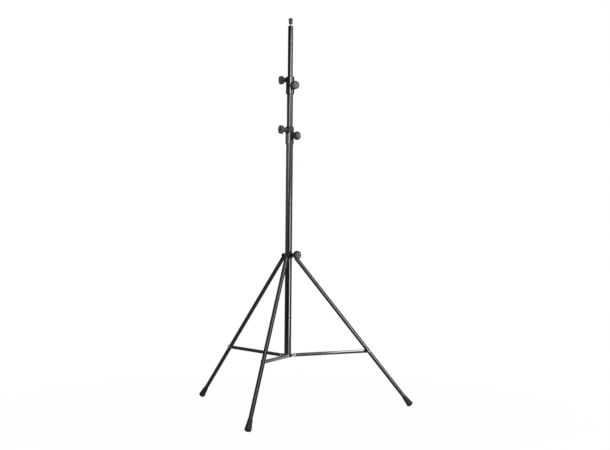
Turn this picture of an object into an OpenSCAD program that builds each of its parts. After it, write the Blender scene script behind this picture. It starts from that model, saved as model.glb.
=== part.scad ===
// Telescopic tripod stand: a column on three folding legs, with two
// stages that slide and turn in screw clamps and a capped stud on top.
// The origin is on the floor under the column, and leg 1 points along +X.

/* [Column] */
// Outside diameter of the column tube
column_od = 38; // [37:0.5:39]
// Wall of the column tube
column_wall = 1.5; // [1:0.1:2]
// Length of the column tube
column_len = 1203; // [1150:1:1300]

/* [Middle stage] */
// Outside diameter of the middle tube
middle_od = 33; // [31.5:0.5:34]
// Wall of the middle tube
middle_wall = 1.5; // [1:0.1:2]
// Length of the middle tube
middle_len = 1250; // [1000:5:1350]
// Length of middle tube that shows between the two clamps
middle_out = 180; // [150:1:500]

/* [Top stage] */
// Outside diameter of the top tube
top_od = 28; // [26:0.5:29]
// Wall of the top tube
top_wall = 1.5; // [1:0.1:2]
// Length of the top tube
top_len = 1250; // [1000:5:1300]
// Length of top tube that shows above the upper clamp
top_out = 274; // [250:1:600]

/* [Clamps] */
// Outside diameter of both clamp sleeves
sleeve_od = 46; // [44:0.5:50]
// Height of a clamp sleeve
sleeve_h = 95; // [85:1:120]
// Depth to which a tube's end stands in its sleeve
sleeve_socket = 38; // [25:1:38]
// Height of the head ring above the groove round the sleeve
head_ring_h = 31; // [28:0.5:36]
// Width and depth of that groove
groove = 1.6; // [1:0.1:2]
// Drop from the sleeve's top to the higher knob
high_knob_drop = 16; // [14.5:0.5:16.5]
// Drop from the sleeve's top to the lower knob
low_knob_drop = 50; // [47:0.5:52]
// Diameter of the round boss that a knob screws into
boss_d = 28; // [20:0.5:30]
// Distance from the column's axis to the face of a boss
boss_face_r = 30; // [28:0.5:36]
// Bearings of the lower clamp's higher and lower knobs
lower_knob_az = [188, 308]; // [0:1:360]
// Bearings of the upper clamp's higher and lower knobs
upper_knob_az = [148, 288]; // [0:1:360]

/* [Legs] */
// Outside diameter of a leg tube
leg_od = 22; // [20:0.5:23]
// Wall of a leg tube
leg_wall = 1.5; // [1:0.1:2]
// Distance from a leg's pivot to the end of its foot
leg_len = 1090; // [1000:1:1150]
// Angle between a leg and the column
leg_angle = 39.4; // [37:0.05:41]
// Distance from the column's axis to a leg's pivot
leg_pivot_r = 31; // [31:0.5:35]
// Radius of the knuckle's round end
knuckle_r = 7.5; // [6.5:0.1:7.5]
// Width of the knuckle between the ears
knuckle_w = 18.4; // [16:0.1:19]
// Distance from the pivot to the shoulder that closes the tube
knuckle_neck = 19; // [18:0.5:30]

/* [Feet] */
// Length of a rubber foot
foot_len = 62; // [50:1:80]
// Diameter of the foot's upper end
foot_top_d = 26.5; // [26:0.5:30]
// Largest diameter of the foot
foot_end_d = 36; // [32:0.5:40]
// Rounding of the foot's lower edge
foot_round = 8; // [5:0.5:10]
// Depth that the floor cuts off the rounding
foot_flat = 1; // [0.5:0.1:2]
// Thickness of rubber under the tube
foot_sole = 14; // [10:0.5:20]

/* [Collar] */
// Outside diameter of the leg collar
collar_od = 46; // [45:0.5:46]
// Height of the leg collar
collar_h = 28; // [24:0.5:32]
// Thickness of one ear of a fork
ear_t = 3.5; // [3:0.1:5]
// Radius of an ear's round end
ear_r = 8; // [7:0.1:9]
// Wall of the plastic liner
liner_t = 1.2; // [0.8:0.1:1.6]
// Diameter of the leg pivot bolts
pivot_bolt_d = 8; // [5:0.5:8]
// Diameter of the boss for the collar's knob
collar_boss_d = 16; // [13:0.5:16]
// Distance from the column's axis to the face of that boss
collar_boss_face_r = 46; // [44:0.5:55]
// Bearing of the collar's knob
collar_knob_az = 300; // [295:1:305]
// Height of the collar's knob above the leg pivots
collar_knob_lift = 3; // [0:0.5:4]

/* [Base hub and struts] */
// Height of the strut pivots above the floor
strut_pivot_z = 302; // [290:1:330]
// Distance from the column's axis to a strut's pivot
strut_pivot_r = 42; // [38:0.5:50]
// Outside diameter of the hub
hub_od = 46; // [44:0.5:50]
// Height of the hub
hub_h = 20; // [18:0.5:30]
// Thickness of the hub's floor
hub_floor = 4; // [3:0.5:8]
// Thickness of a lug
lug_t = 9; // [5:0.5:9]
// Radius of a lug's round end
lug_r = 8.6; // [7:0.1:9]
// Distance from a leg's pivot to its strut joint
strut_joint = 690; // [640:1:720]
// Width of a strut
strut_w = 19; // [16:0.5:20]
// Thickness of a strut
strut_t = 3; // [2:0.1:4]
// Diameter of the strut rivets
rivet_d = 8; // [5:0.5:8]
// Diameter of a rivet's head
rivet_head_d = 13; // [11:0.5:14]
// Height of a rivet's head
rivet_head_h = 3.5; // [2:0.1:4]

/* [Knobs] */
// Diameter of a knob
knob_d = 47; // [40:0.5:50]
// Thickness of a knob's rim
knob_rim = 21.5; // [18:0.5:24]
// Length of a knob's neck
knob_neck = 10; // [8:0.5:14]
// Diameter of a knob's neck
knob_neck_d = 26; // [20:0.5:28]
// Number of finger flutes round the rim
knob_flutes = 8; // [6:1:12]
// Radius of a finger flute
flute_r = 12; // [8:0.5:14]
// Depth of a finger flute
flute_deep = 1.9; // [1:0.1:2.5]
// Diameter of the clamp screws
screw_d = 8; // [6:0.5:10]
// Thickness of the pressure pads
pad_t = 3; // [2:0.1:4]

/* [Top stud] */
// Diameter of the threaded stud
stud_d = 9.5; // [8:0.5:12]
// Length of stud that stands out of the plug
stud_out = 34; // [28:1:38]
// Height of the plug's bevelled shoulder
plug_h = 7; // [5:0.5:12]
// Bright length of stud between the plug and the cap
stud_neck = 9.5; // [4:0.5:12]
// Height of the cap
cap_h = 32.5; // [32:0.5:45]
// Largest diameter of the cap
cap_d = 23; // [20:0.5:25]
// Diameter of the cap's lower end
cap_base_d = 15; // [14:0.5:17]

/* [Fits] */
// Radial clearance of a pin, screw or tube that turns or slides in its hole
run_fit = 0.08; // [0.03:0.01:0.1]
// Radial clearance of a piece that is fixed in its seat
seat_fit = 0.04; // [0.02:0.01:0.1]
// Clearance between the other faces that move past each other
side_gap = 0.3; // [0.2:0.05:0.5]

/* [Hidden] */

$fn = 48;
legs = 3;
cut = 1;                                    // overshoot of a cutting tool
rim_bevel = 1.2;                            // bevel on the rims of castings
edge_bevel = 0.6;                           // bevel on the rims of plastic rings

black_paint = "#17181b";
black_cast = "#101114";
grey_plastic = "#3a3b3d";
dark_plastic = "#1d1e20";
rubber = "#2b2c2d";
zinc = "#b9bcc0";
brass = "#b08d4a";

// The base: hub, column and where a strut lies beside its leg
hub_z = strut_pivot_z - hub_h / 2;
drain_d = 8;
lug_web = 0.86 * lug_r;                     // half height of the web behind a lug's round end
column_z = hub_z + hub_floor;
strut_in = leg_od / 2 + side_gap;           // inner face of a strut, from the leg's plane
strut_out = strut_in + strut_t;
lug_out = strut_in - side_gap;
lug_in = lug_out - lug_t;

// The legs: the foot's round edge is cut flat where it meets the floor
foot_end_z = foot_round - foot_flat + (foot_end_d / 2 - foot_round) * sin(leg_angle)
    - foot_round * cos(leg_angle);
foot_end_r = leg_pivot_r + leg_len * sin(leg_angle);
leg_pivot_z = foot_end_z + leg_len * cos(leg_angle);
knuckle_shoulder = 3;
knuckle_step = 2.3;                         // how far the neck is set in from the knuckle's ends
knuckle_spigot = 26;
leg_tube_start = knuckle_neck + knuckle_shoulder;
leg_tube_end = leg_len - foot_sole;

// The struts run from the hub's lugs to the strut joints on the legs
strut_reach = [leg_pivot_r + strut_joint * sin(leg_angle) - strut_pivot_r,
               leg_pivot_z - strut_joint * cos(leg_angle) - strut_pivot_z];
strut_len = norm(strut_reach);
strut_rise = atan2(strut_reach[1], strut_reach[0]);

// The collar and its forks
fork_in = knuckle_w / 2 + side_gap;
fork_out = fork_in + ear_t;
collar_z = leg_pivot_z - collar_h / 2;
ear_top = collar_h / 2 - rim_bevel;         // top of the ears, above the pivots
collar_knob_z = leg_pivot_z + collar_knob_lift;
liner_flange = 1.5;
liner_flange_d = collar_od - 2;
bolt_head_af = 13;
bolt_head_h = 5.3;
bolt_nut_h = 6.5;
bolt_tail = 2.5;

// The stages: each sleeve stands on the tube below it
bush_flange_t = 1.5;
bush_flange_d = sleeve_od - 4;
lower_z = column_z + column_len - sleeve_socket;
middle_top_z = lower_z + sleeve_h + bush_flange_t + middle_out + sleeve_socket;
upper_z = middle_top_z - sleeve_socket;
top_end_z = upper_z + sleeve_h + bush_flange_t + top_out;
guide_flange = 10;
guide_spigot = 28;
guide_wall = 2.5;

// The stud and its cap
plug_spigot = 24;
plug_step = 1.5;
plug_land = 2.5;                            // width of the flat round the stud
stud_in = 18;
stud_z = top_end_z + plug_h;
cap_z = stud_z + stud_neck;
cap_waist = 0.62 * cap_h;                   // height of the cap's widest place
cap_flutes = 10;
cap_flute_r = 2;

// The knobs turn against nothing but their pads
screw_in_knob = knob_neck + 6;
knob_edge = 4;                              // rounding between rim and face
knob_back = 2;                              // rounding between rim and neck
face_recess_r = 0.56 * knob_d / 2;
face_recess = 1.4;

function arc(centre, radius, from, to, steps = 6) =
    [for (k = [0:steps]) let (a = from + (to - from) * k / steps)
        centre + radius * [cos(a), sin(a)]];

// A place on leg i: +Z runs down the leg from its pivot, +Y is its strut side
module on_leg(i) {
    rotate([0, 0, i * 360 / legs]) translate([leg_pivot_r, 0, leg_pivot_z])
        rotate([0, 180 - leg_angle, 0]) children();
}

// A place at strut i's pivot: +X runs along the strut to its leg
module on_strut(i) {
    rotate([0, 0, i * 360 / legs]) translate([strut_pivot_r, 0, strut_pivot_z])
        rotate([0, -strut_rise, 0]) children();
}

// A place on a radius of the column: +Z points out along it
module on_radius(bearing, z, r) {
    rotate([0, 0, bearing]) translate([r, 0, z]) rotate([0, 90, 0]) children();
}

// Turns +Z to +Y, for pins that lie along a pivot
module along_pivot() {
    rotate([-90, 0, 0]) children();
}

module pipe(od, wall, length) {
    difference() {
        cylinder(d = od, h = length);
        translate([0, 0, -cut]) cylinder(d = od - 2 * wall, h = length + 2 * cut);
    }
}

// A rivet's domed head, standing on the plane z = 0
module dome(d, h) {
    sphere_r = (d * d / 4 + h * h) / (2 * h);
    intersection() {
        translate([0, 0, h - sphere_r]) sphere(sphere_r);
        translate([-d, -d, 0]) cube([2 * d, 2 * d, 2 * h]);
    }
}

// A turned body with both rims bevelled
module bevelled_drum(d, h, bevel) {
    rotate_extrude() polygon([[0, 0], [d / 2 - bevel, 0], [d / 2, bevel], [d / 2, h - bevel],
                              [d / 2 - bevel, h], [0, h]]);
}

// Column

module column_tube() {
    color(black_paint) translate([0, 0, column_z]) pipe(column_od, column_wall, column_len);
}

module base_hub() {
    lug_root = column_od / 2 - column_wall;
    color(black_cast) difference() {
        union() {
            translate([0, 0, hub_z]) bevelled_drum(hub_od, hub_h, rim_bevel);
            for (i = [0:legs - 1]) rotate([0, 0, i * 360 / legs]) {
                translate([lug_root, lug_in, strut_pivot_z - lug_web])
                    cube([strut_pivot_r - lug_root, lug_t, 2 * lug_web]);
                translate([strut_pivot_r, lug_in, strut_pivot_z])
                    along_pivot() cylinder(r = lug_r, h = lug_t);
            }
        }
        translate([0, 0, column_z]) cylinder(r = column_od / 2 + seat_fit, h = hub_h);
        translate([0, 0, hub_z - cut]) cylinder(d = drain_d, h = hub_floor + 2 * cut);
        for (i = [0:legs - 1]) rotate([0, 0, i * 360 / legs])
            translate([strut_pivot_r, lug_in - cut, strut_pivot_z])
                along_pivot() cylinder(r = rivet_d / 2 + seat_fit, h = lug_t + 2 * cut);
    }
}

module hub_rivets() {
    outer_head = strut_out + side_gap;
    color(zinc) for (i = [0:legs - 1]) rotate([0, 0, i * 360 / legs])
        translate([strut_pivot_r, 0, strut_pivot_z]) along_pivot() {
            translate([0, 0, lug_in]) cylinder(d = rivet_d, h = outer_head - lug_in);
            translate([0, 0, outer_head]) dome(rivet_head_d, rivet_head_h);
            translate([0, 0, lug_in]) mirror([0, 0, 1]) dome(rivet_head_d, rivet_head_h);
        }
}

// Clamps

module clamp_sleeve(tube_od, z, knob_az) {
    groove_z = sleeve_h - head_ring_h;
    bevel = rim_bevel;
    r = sleeve_od / 2;
    knob_drop = [high_knob_drop, low_knob_drop];
    color(black_cast) difference() {
        union() {
            translate([0, 0, z]) rotate_extrude() polygon([
                [0, 0], [r - bevel, 0], [r, bevel],
                [r, groove_z - groove], [r - groove, groove_z - groove / 2], [r, groove_z],
                [r, sleeve_h - bevel], [r - bevel, sleeve_h], [0, sleeve_h]]);
            for (k = [0, 1]) on_radius(knob_az[k], z + sleeve_h - knob_drop[k], tube_od / 2)
                cylinder(d1 = boss_d, d2 = boss_d - 2, h = boss_face_r - tube_od / 2);
        }
        translate([0, 0, z - cut]) cylinder(r = tube_od / 2 + seat_fit, h = sleeve_h + 2 * cut);
        for (k = [0, 1]) on_radius(knob_az[k], z + sleeve_h - knob_drop[k], 0)
            cylinder(r = screw_d / 2 + run_fit, h = boss_face_r + cut);
    }
}

module clamp_bush(tube_od, inner_od, z, knob_az) {
    bush_h = sleeve_h - sleeve_socket;
    knob_drop = [high_knob_drop, low_knob_drop];
    color(dark_plastic) difference() {
        translate([0, 0, z + sleeve_socket]) union() {
            cylinder(d = tube_od, h = bush_h);
            translate([0, 0, bush_h]) bevelled_drum(bush_flange_d, bush_flange_t, edge_bevel);
        }
        translate([0, 0, z])
            cylinder(r = inner_od / 2 + run_fit, h = sleeve_h + bush_flange_t + cut);
        for (k = [0, 1]) on_radius(knob_az[k], z + sleeve_h - knob_drop[k], 0)
            cylinder(r = screw_d / 2 + run_fit, h = tube_od);
    }
}

// A button with a hollowed face, between a screw's end and the tube
module pressure_pad(tube_od, z, bearing) {
    inner_r = tube_od / 2 + run_fit;
    difference() {
        on_radius(bearing, z, tube_od / 2 - screw_d / 2)
            cylinder(d = screw_d, h = screw_d / 2 + pad_t);
        translate([0, 0, z - screw_d]) cylinder(r = inner_r, h = 2 * screw_d);
    }
}

module clamp_pads(inner_od, z, knob_az) {
    knob_drop = [high_knob_drop, low_knob_drop];
    color(brass) for (k = [0, 1])
        pressure_pad(inner_od, z + sleeve_h - knob_drop[k], knob_az[k]);
}

// Leg collar

// One ear of a fork, seen along its pivot: it ends round and reaches up to the collar's rim
module ear_outline() {
    ear_root = collar_od / 4;
    upper = ear_top - ear_r;
    translate([ear_root, -ear_r]) square([leg_pivot_r - ear_root, ear_top + ear_r]);
    translate([leg_pivot_r, 0]) circle(r = ear_r);
    translate([leg_pivot_r, upper]) circle(r = ear_r);
    translate([leg_pivot_r, 0]) square([ear_r, upper]);
}

module leg_collar() {
    bolt_hole_r = pivot_bolt_d / 2 + seat_fit;
    color(black_cast) difference() {
        union() {
            translate([0, 0, collar_z]) bevelled_drum(collar_od, collar_h, rim_bevel);
            for (i = [0:legs - 1]) rotate([0, 0, i * 360 / legs])
                for (y = [-fork_out, fork_in]) translate([0, y + ear_t, leg_pivot_z])
                    rotate([90, 0, 0]) linear_extrude(ear_t) ear_outline();
            on_radius(collar_knob_az, collar_knob_z, collar_od / 4)
                cylinder(d = collar_boss_d, h = collar_boss_face_r - collar_od / 4);
        }
        translate([0, 0, collar_z - cut])
            cylinder(r = column_od / 2 + run_fit + liner_t + seat_fit, h = collar_h + 2 * cut);
        for (i = [0:legs - 1]) rotate([0, 0, i * 360 / legs])
            translate([leg_pivot_r, -fork_out - cut, leg_pivot_z])
                along_pivot() cylinder(r = bolt_hole_r, h = 2 * (fork_out + cut));
        on_radius(collar_knob_az, collar_knob_z, 0)
            cylinder(r = screw_d / 2 + run_fit, h = collar_boss_face_r + cut);
    }
}

module collar_liner() {
    inner_r = column_od / 2 + run_fit;
    color(dark_plastic) difference() {
        translate([0, 0, collar_z - liner_flange]) union() {
            cylinder(r = inner_r + liner_t, h = collar_h + liner_flange);
            bevelled_drum(liner_flange_d, liner_flange, edge_bevel);
        }
        translate([0, 0, collar_z - liner_flange - cut])
            cylinder(r = inner_r, h = collar_h + liner_flange + 2 * cut);
        on_radius(collar_knob_az, collar_knob_z, 0)
            cylinder(r = screw_d / 2 + run_fit, h = collar_od);
    }
}

module collar_pad() {
    color(brass) pressure_pad(column_od, collar_knob_z, collar_knob_az);
}

module leg_pivot_bolts() {
    shank = 2 * fork_out + bolt_nut_h + bolt_tail;
    color(zinc) for (i = [0:legs - 1]) rotate([0, 0, i * 360 / legs])
        translate([leg_pivot_r, -fork_out, leg_pivot_z]) along_pivot() {
            cylinder(d = pivot_bolt_d, h = shank);
            translate([0, 0, -bolt_head_h])
                cylinder(d = bolt_head_af / cos(30), h = bolt_head_h, $fn = 6);
        }
}

module leg_pivot_nuts() {
    color(zinc) for (i = [0:legs - 1]) rotate([0, 0, i * 360 / legs])
        translate([leg_pivot_r, fork_out, leg_pivot_z]) along_pivot() difference() {
            cylinder(d = bolt_head_af / cos(30), h = bolt_nut_h, $fn = 6);
            translate([0, 0, -cut])
                cylinder(r = pivot_bolt_d / 2 + seat_fit, h = bolt_nut_h + 2 * cut);
        }
}

// Legs

module leg_tube(i) {
    color(black_paint) on_leg(i) difference() {
        translate([0, 0, leg_tube_start]) pipe(leg_od, leg_wall, leg_tube_end - leg_tube_start);
        translate([0, -leg_od, strut_joint])
            along_pivot() cylinder(r = rivet_d / 2 + seat_fit, h = 2 * leg_od);
    }
}

module leg_knuckle(i) {
    spigot_r = leg_od / 2 - leg_wall - seat_fit;
    neck_t = 1.88 * knuckle_r;              // a little less than the round end, so no faces touch
    neck_w = knuckle_w - 2 * knuckle_step;
    color(dark_plastic) on_leg(i) difference() {
        union() {
            translate([0, -knuckle_w / 2, 0]) along_pivot() cylinder(r = knuckle_r, h = knuckle_w);
            translate([-neck_t / 2, -neck_w / 2, 0])
                cube([neck_t, neck_w, knuckle_neck + knuckle_shoulder / 2]);
            translate([0, 0, knuckle_neck]) bevelled_drum(leg_od, knuckle_shoulder, edge_bevel);
            translate([0, 0, leg_tube_start]) cylinder(r = spigot_r, h = knuckle_spigot);
        }
        translate([0, -knuckle_w, 0])
            along_pivot() cylinder(r = pivot_bolt_d / 2 + run_fit, h = 2 * knuckle_w);
    }
}

module leg_rivet(i) {
    color(zinc) on_leg(i) translate([0, -leg_od / 2, strut_joint]) along_pivot() {
        cylinder(d = rivet_d, h = leg_od);
        mirror([0, 0, 1]) dome(rivet_head_d, rivet_head_h);
    }
}

module leg_foot(i) {
    end_r = foot_end_d / 2;
    top_r = foot_top_d / 2;
    lip = 12;
    lip_round = 1.5;
    floor_size = 4 * foot_end_d;
    color(rubber) difference() {
        on_leg(i) translate([0, 0, leg_len - foot_len]) difference() {
            rotate_extrude() polygon(concat(
                [[0, 0]],
                arc([top_r - lip_round, lip_round], lip_round, -90, 0, 4),
                [[top_r, lip]],
                arc([end_r - foot_round, foot_len - foot_round], foot_round, -12, 90, 8),
                [[0, foot_len]]));
            translate([0, 0, -cut])
                cylinder(r = leg_od / 2 + seat_fit, h = foot_len - foot_sole + cut);
        }
        rotate([0, 0, i * 360 / legs])
            translate([foot_end_r - floor_size / 2, -floor_size / 2, -floor_size])
                cube(floor_size);
    }
}

// Struts

module strut(i) {
    color(black_paint) on_strut(i) translate([0, strut_in, 0]) along_pivot() linear_extrude(strut_t)
        difference() {
            union() {
                circle(d = strut_w);
                translate([0, -strut_w / 2]) square([strut_len, strut_w]);
                translate([strut_len, 0]) circle(d = strut_w);
            }
            circle(r = rivet_d / 2 + run_fit);
            translate([strut_len, 0]) circle(r = rivet_d / 2 + seat_fit);
        }
}

module strut_rivet(i) {
    color(zinc) on_strut(i) translate([strut_len, strut_in, 0]) along_pivot() {
        cylinder(d = rivet_d, h = strut_t);
        translate([0, 0, strut_t]) dome(rivet_head_d, rivet_head_h);
    }
}

// Stages

// A plastic ring that closes a tube's lower end and guides it in the next tube
module guide_ring(inner_r, spigot_r, end_z) {
    bore_r = spigot_r - guide_wall;
    color(grey_plastic) translate([0, 0, end_z - guide_flange]) difference() {
        union() {
            bevelled_drum(2 * inner_r, guide_flange, edge_bevel);
            cylinder(r = spigot_r, h = guide_flange + guide_spigot);
        }
        translate([0, 0, -cut]) cylinder(r = bore_r, h = guide_flange + guide_spigot + 2 * cut);
    }
}

module middle_guide() {
    guide_ring(column_od / 2 - column_wall - run_fit, middle_od / 2 - middle_wall - run_fit,
               middle_top_z - middle_len);
}

module middle_tube() {
    color(black_paint) translate([0, 0, middle_top_z - middle_len])
        pipe(middle_od, middle_wall, middle_len);
}

module top_guide() {
    guide_ring(middle_od / 2 - middle_wall - run_fit, top_od / 2 - top_wall - run_fit,
               top_end_z - top_len);
}

module top_tube() {
    color(black_paint) translate([0, 0, top_end_z - top_len]) pipe(top_od, top_wall, top_len);
}

module top_plug() {
    color(black_cast) translate([0, 0, top_end_z]) difference() {
        union() {
            rotate_extrude() polygon([[0, 0], [top_od / 2, 0], [top_od / 2, plug_step],
                                      [stud_d / 2 + plug_land, plug_h], [0, plug_h]]);
            translate([0, 0, -plug_spigot])
                cylinder(r = top_od / 2 - top_wall - seat_fit, h = plug_spigot);
        }
        translate([0, 0, plug_h - stud_in]) cylinder(r = stud_d / 2 + seat_fit, h = stud_in + cut);
    }
}

module threaded_stud() {
    color(zinc) translate([0, 0, stud_z - stud_in]) cylinder(d = stud_d, h = stud_in + stud_out);
}

module stud_cap() {
    top_round = 4;
    bore_h = stud_out - stud_neck + side_gap;
    color(dark_plastic) translate([0, 0, cap_z]) difference() {
        rotate_extrude() polygon(concat(
            [[0, 0], [cap_base_d / 2, 0], [cap_d / 2, cap_waist]],
            arc([cap_d / 2 - top_round, cap_h - top_round], top_round, 0, 90),
            [[0, cap_h]]));
        translate([0, 0, -cut]) cylinder(r = stud_d / 2 + run_fit, h = bore_h + cut);
        for (k = [0:cap_flutes - 1]) rotate([0, 0, k * 360 / cap_flutes])
            translate([(cap_d + cap_flute_r) / 2, 0, cap_waist / 2]) cylinder(r = cap_flute_r, h = cap_h);
    }
}

// Knobs

module knob(bearing, z, face_r) {
    r = knob_d / 2;
    neck_r = knob_neck_d / 2;
    end = knob_neck + knob_rim;
    color(grey_plastic) on_radius(bearing, z, face_r + side_gap) difference() {
        rotate_extrude() polygon(concat(
            [[0, 0], [neck_r, 0], [neck_r + 1, knob_neck * 0.7], [r - 1.5 * knob_back, knob_neck]],
            arc([r - knob_back, knob_neck + knob_back], knob_back, -60, 0, 3),
            arc([r - knob_edge, end - knob_edge], knob_edge, 0, 80),
            [[face_recess_r, end], [face_recess_r - face_recess, end - face_recess],
             [0, end - face_recess]]));
        translate([0, 0, -cut]) cylinder(r = screw_d / 2 + seat_fit, h = screw_in_knob + cut);
        for (k = [0:knob_flutes - 1]) rotate([0, 0, (k + 0.5) * 360 / knob_flutes])
            translate([r + flute_r - flute_deep, 0, knob_neck - cut])
                cylinder(r = flute_r, h = knob_rim + 2 * cut);
    }
}

module clamp_screw(tube_od, bearing, z, face_r) {
    tip = tube_od / 2 + pad_t;
    color(zinc) on_radius(bearing, z, tip)
        cylinder(d = screw_d, h = face_r + side_gap + screw_in_knob - tip);
}

column_tube();
base_hub();
hub_rivets();
clamp_sleeve(column_od, lower_z, lower_knob_az);  // lower_clamp_sleeve
clamp_bush(column_od, middle_od, lower_z, lower_knob_az);  // lower_clamp_bush
clamp_pads(middle_od, lower_z, lower_knob_az);  // lower_clamp_pads
leg_collar();
collar_liner();
collar_pad();
leg_pivot_bolts();
leg_pivot_nuts();
for (i = [0:legs - 1]) {
    leg_tube(i);
    leg_knuckle(i);
    leg_rivet(i);
    leg_foot(i);
    strut(i);
    strut_rivet(i);
}
middle_guide();
middle_tube();
clamp_sleeve(middle_od, upper_z, upper_knob_az);  // upper_clamp_sleeve
clamp_bush(middle_od, top_od, upper_z, upper_knob_az);  // upper_clamp_bush
clamp_pads(top_od, upper_z, upper_knob_az);  // upper_clamp_pads
top_guide();
top_tube();
top_plug();
threaded_stud();
stud_cap();
knob(collar_knob_az, collar_knob_z, collar_boss_face_r);  // collar_knob
clamp_screw(column_od, collar_knob_az, collar_knob_z, collar_boss_face_r);  // collar_screw
for (k = [0, 1]) {
    height = ["high", "low"][k];
    drop = sleeve_h - [high_knob_drop, low_knob_drop][k];
    knob(lower_knob_az[k], lower_z + drop, boss_face_r);
    clamp_screw(middle_od, lower_knob_az[k], lower_z + drop, boss_face_r);
    knob(upper_knob_az[k], upper_z + drop, boss_face_r);
    clamp_screw(top_od, upper_knob_az[k], upper_z + drop, boss_face_r);
}
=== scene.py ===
# %% [markdown]
# # A telescopic tripod stand, dressed in Blender
#
# The stand is a column on three folding legs. Two more tubes slide out of the
# column, screw clamps with fat plastic knobs hold them, and a capped stud
# closes the top. The CAD model already has every main form at its true size,
# so this lesson loads it as a fixed frame and spends its effort on what a CAD
# solid lacks: enamel, rubber and zinc that look real, screw threads, bolt
# heads, moulded grips and rounded edges.

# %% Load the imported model
import math

import bpy
from mathutils import Matrix, Vector


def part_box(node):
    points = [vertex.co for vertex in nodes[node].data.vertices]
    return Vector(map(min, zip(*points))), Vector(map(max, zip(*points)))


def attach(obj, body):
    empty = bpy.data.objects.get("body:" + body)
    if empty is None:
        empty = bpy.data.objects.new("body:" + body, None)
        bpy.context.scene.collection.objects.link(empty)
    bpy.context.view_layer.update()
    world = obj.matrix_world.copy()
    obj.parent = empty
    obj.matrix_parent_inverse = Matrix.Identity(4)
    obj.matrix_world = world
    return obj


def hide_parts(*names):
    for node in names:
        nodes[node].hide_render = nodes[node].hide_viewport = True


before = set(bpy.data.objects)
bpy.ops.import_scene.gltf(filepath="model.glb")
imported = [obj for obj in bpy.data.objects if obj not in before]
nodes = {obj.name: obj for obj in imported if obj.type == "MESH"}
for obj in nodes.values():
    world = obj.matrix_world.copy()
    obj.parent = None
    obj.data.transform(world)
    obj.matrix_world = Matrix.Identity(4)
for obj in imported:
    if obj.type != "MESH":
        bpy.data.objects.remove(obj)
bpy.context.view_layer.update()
MM = 0.001

# %% [markdown]
# ## The camera
#
# A product photograph of a tall stand is taken from far away with a long
# lens, so that the tube stays straight. The eye is just under half the
# stand's height, which shows the feet from slightly above and the clamps from
# slightly below. The heading, the pitch and a small roll were fitted to the
# three feet, the three strut joints and the column in the photograph.

# %% Camera at the photograph's viewpoint
IMAGE_WIDTH, FOCAL_PX, SENSOR_WIDTH = 610, 1079.0, 36.0
eye = Vector((-1516.6, -5735.9, 911.0)) * MM
heading, pitch, roll = (math.radians(a) for a in (15.67, 1.03, 0.52))

forward = Vector((math.sin(heading) * math.cos(pitch),
                  math.cos(heading) * math.cos(pitch), math.sin(pitch)))
level_right = Vector((math.cos(heading), -math.sin(heading), 0.0))
level_up = level_right.cross(forward)
right = math.cos(roll) * level_right + math.sin(roll) * level_up
up = math.cos(roll) * level_up - math.sin(roll) * level_right

camera_data = bpy.data.cameras.new("photo_camera")
camera_data.sensor_fit = "HORIZONTAL"
camera_data.sensor_width = SENSOR_WIDTH
camera_data.lens = SENSOR_WIDTH * FOCAL_PX / IMAGE_WIDTH
camera = bpy.data.objects.new("photo_camera", camera_data)
bpy.context.scene.collection.objects.link(camera)
turn = Matrix((right, up, -forward)).transposed().to_4x4()
camera.matrix_world = Matrix.Translation(eye) @ turn
bpy.context.scene.camera = camera
print("lens:", round(camera_data.lens, 2), "mm")

# %% [markdown]
# ## A helper for colours and one for nodes
#
# Colours are easiest to read as hex values, the way a paint chart lists them,
# but Blender's sockets want linear light. One function converts them. Another
# adds a node with its settings and links in one line, so that a material
# reads like a recipe. A Mix node keeps its two colour sockets at places 6 and
# 7 and its colour result at 2, because the first places hold plain numbers.

# %% Colour and node helpers
def paint(hex_code):
    """An sRGB hex colour as linear RGBA."""
    channels = [int(hex_code[i:i + 2], 16) / 255 for i in (1, 3, 5)]
    linear = [c / 12.92 if c <= 0.04045 else ((c + 0.055) / 1.055) ** 2.4 for c in channels]
    return (*linear, 1.0)


def add(tree, kind, links=None, values=None, **settings):
    """Adds a node: settings are its properties, values its sockets, links what feeds them."""
    node = tree.nodes.new(kind)
    for name, value in settings.items():
        setattr(node, name, value)
    for socket, value in (values or {}).items():
        node.inputs[socket].default_value = value
    for socket, source in (links or {}).items():
        tree.links.new(source, node.inputs[socket])
    return node


COLOUR_A, COLOUR_B, MIXED = 6, 7, 2
print("enamel black is", [round(c, 4) for c in paint("#101114")[:3]])

# %% [markdown]
# ## The studio
#
# Gloss black shows almost nothing of its own: what the eye reads is what the
# paint reflects. So the world is a studio that is made for its reflections: a
# white sweep behind the stand, a pale band low on the walls, dark walls above
# it, a paler ceiling, and a dark place where the camera stands. A colour ramp
# gives the brightness by height, and two dot products with fixed directions
# dim it towards the camera and towards the back.

# %% World: the room that reflections see
def grey(brightness):
    """A grey of this linear brightness."""
    return (brightness, brightness, brightness, 1.0)


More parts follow.
